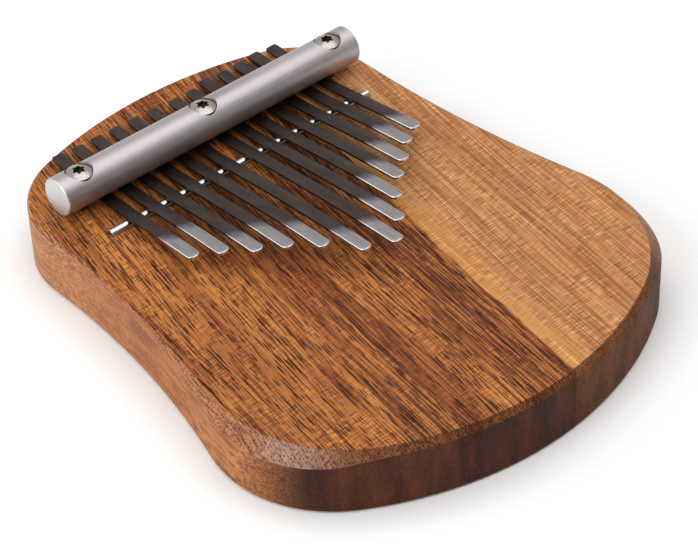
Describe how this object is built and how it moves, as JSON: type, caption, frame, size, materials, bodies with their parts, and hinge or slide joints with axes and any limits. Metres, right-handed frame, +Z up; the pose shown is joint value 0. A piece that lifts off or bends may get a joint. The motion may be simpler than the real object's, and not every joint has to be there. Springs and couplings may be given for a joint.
{
  "type": "mbira",
  "caption": "Board lamellophone: spring-steel tines clamped over bridge rods by a round aluminium bar on a pear-shaped solid wooden board; each free tine end flexes and springs back.",
  "frame": {"origin": "on the board's underside, at the middle of the outline's width and length", "axes": "+Z up out of the playing face, +Y towards the clamped end along the tines, -Y towards the player, +X to the right as seen by the player"},
  "size_m": [0.1488, 0.183, 0.0343],
  "materials": {
    "board_wood": "oiled, semi-matte, open grain along the tines",
    "bar_aluminium": "satin, drawn lengthwise",
    "rod_steel": "polished",
    "screw_steel": "plain stainless",
    "tine_steel": "dark blued, tips ground bright"
  },
  "bodies": {
    "root": {"board": "board_wood", "clamp_bar": "bar_aluminium", "front_rod": "rod_steel", "rear_rod": "rod_steel", "screw_left": "screw_steel", "screw_middle": "screw_steel", "screw_right": "screw_steel", "tine_01_root": "tine_steel", "tine_02_root": "tine_steel", "tine_03_root": "tine_steel", "tine_04_root": "tine_steel", "tine_05_root": "tine_steel", "tine_06_root": "tine_steel", "tine_07_root": "tine_steel", "tine_08_root": "tine_steel", "tine_09_root": "tine_steel", "tine_10_root": "tine_steel", "tine_11_root": "tine_steel", "tine_12_root": "tine_steel", "tine_13_root": "tine_steel"},
    "tine_01": {"tine_01_tongue": "tine_steel"},
    "tine_02": {"tine_02_tongue": "tine_steel"},
    "tine_03": {"tine_03_tongue": "tine_steel"},
    "tine_04": {"tine_04_tongue": "tine_steel"},
    "tine_05": {"tine_05_tongue": "tine_steel"},
    "tine_06": {"tine_06_tongue": "tine_steel"},
    "tine_07": {"tine_07_tongue": "tine_steel"},
    "tine_08": {"tine_08_tongue": "tine_steel"},
    "tine_09": {"tine_09_tongue": "tine_steel"},
    "tine_10": {"tine_10_tongue": "tine_steel"},
    "tine_11": {"tine_11_tongue": "tine_steel"},
    "tine_12": {"tine_12_tongue": "tine_steel"},
    "tine_13": {"tine_13_tongue": "tine_steel"}
  },
  "joints": [
    {"name": "tine_01_pluck", "type": "hinge", "parent": "root", "child": "tine_01", "pos_m": [-0.03966, 0.03987, 0.02308], "axis": [0.9996, -0.028, 0], "range_deg": [-3.5, 3.5], "stiffness_Nm_per_rad": 2.62},
    {"name": "tine_02_pluck", "type": "hinge", "parent": "root", "child": "tine_02", "pos_m": [-0.03257, 0.03987, 0.02308], "axis": [0.9997, -0.023, 0], "range_deg": [-3.5, 3.5], "stiffness_Nm_per_rad": 2.29},
    {"name": "tine_03_pluck", "type": "hinge", "parent": "root", "child": "tine_03", "pos_m": [-0.02548, 0.03986, 0.02308], "axis": [0.9998, -0.018, 0], "range_deg": [-3.5, 3.5], "stiffness_Nm_per_rad": 1.93},
    {"name": "tine_04_pluck", "type": "hinge", "parent": "root", "child": "tine_04", "pos_m": [-0.01839, 0.03986, 0.02308], "axis": [0.9999, -0.013, 0], "range_deg": [-3.5, 3.5], "stiffness_Nm_per_rad": 1.72},
    {"name": "tine_05_pluck", "type": "hinge", "parent": "root", "child": "tine_05", "pos_m": [-0.01129, 0.03986, 0.02308], "axis": [1, -0.008, 0], "range_deg": [-3.5, 3.5], "stiffness_Nm_per_rad": 1.5},
    {"name": "tine_06_pluck", "type": "hinge", "parent": "root", "child": "tine_06", "pos_m": [-0.0042, 0.03986, 0.02308], "axis": [1, -0.003, 0], "range_deg": [-3.5, 3.5], "stiffness_Nm_per_rad": 1.27},
    {"name": "tine_07_pluck", "type": "hinge", "parent": "root", "child": "tine_07", "pos_m": [0.0042, 0.03986, 0.02308], "axis": [1, 0.003, 0], "range_deg": [-3.5, 3.5], "stiffness_Nm_per_rad": 1.2},
    {"name": "tine_08_pluck", "type": "hinge", "parent": "root", "child": "tine_08", "pos_m": [0.01099, 0.03986, 0.02308], "axis": [1, 0.0077, 0], "range_deg": [-3.5, 3.5], "stiffness_Nm_per_rad": 1.34},
    {"name": "tine_09_pluck", "type": "hinge", "parent": "root", "child": "tine_09", "pos_m": [0.01778, 0.03986, 0.02308], "axis": [0.9999, 0.0125, 0], "range_deg": [-3.5, 3.5], "stiffness_Nm_per_rad": 1.57},
    {"name": "tine_10_pluck", "type": "hinge", "parent": "root", "child": "tine_10", "pos_m": [0.02457, 0.03986, 0.02308], "axis": [0.9999, 0.0173, 0], "range_deg": [-3.5, 3.5], "stiffness_Nm_per_rad": 1.82},
    {"name": "tine_11_pluck", "type": "hinge", "parent": "root", "child": "tine_11", "pos_m": [0.03135, 0.03987, 0.02308], "axis": [0.9998, 0.0221, 0], "range_deg": [-3.5, 3.5], "stiffness_Nm_per_rad": 2.08},
    {"name": "tine_12_pluck", "type": "hinge", "parent": "root", "child": "tine_12", "pos_m": [0.03814, 0.03987, 0.02308], "axis": [0.9996, 0.0269, 0], "range_deg": [-3.5, 3.5], "stiffness_Nm_per_rad": 2.46},
    {"name": "tine_13_pluck", "type": "hinge", "parent": "root", "child": "tine_13", "pos_m": [0.04493, 0.03987, 0.02308], "axis": [0.9995, 0.0317, 0], "range_deg": [-3.5, 3.5], "stiffness_Nm_per_rad": 2.81}
  ]
}
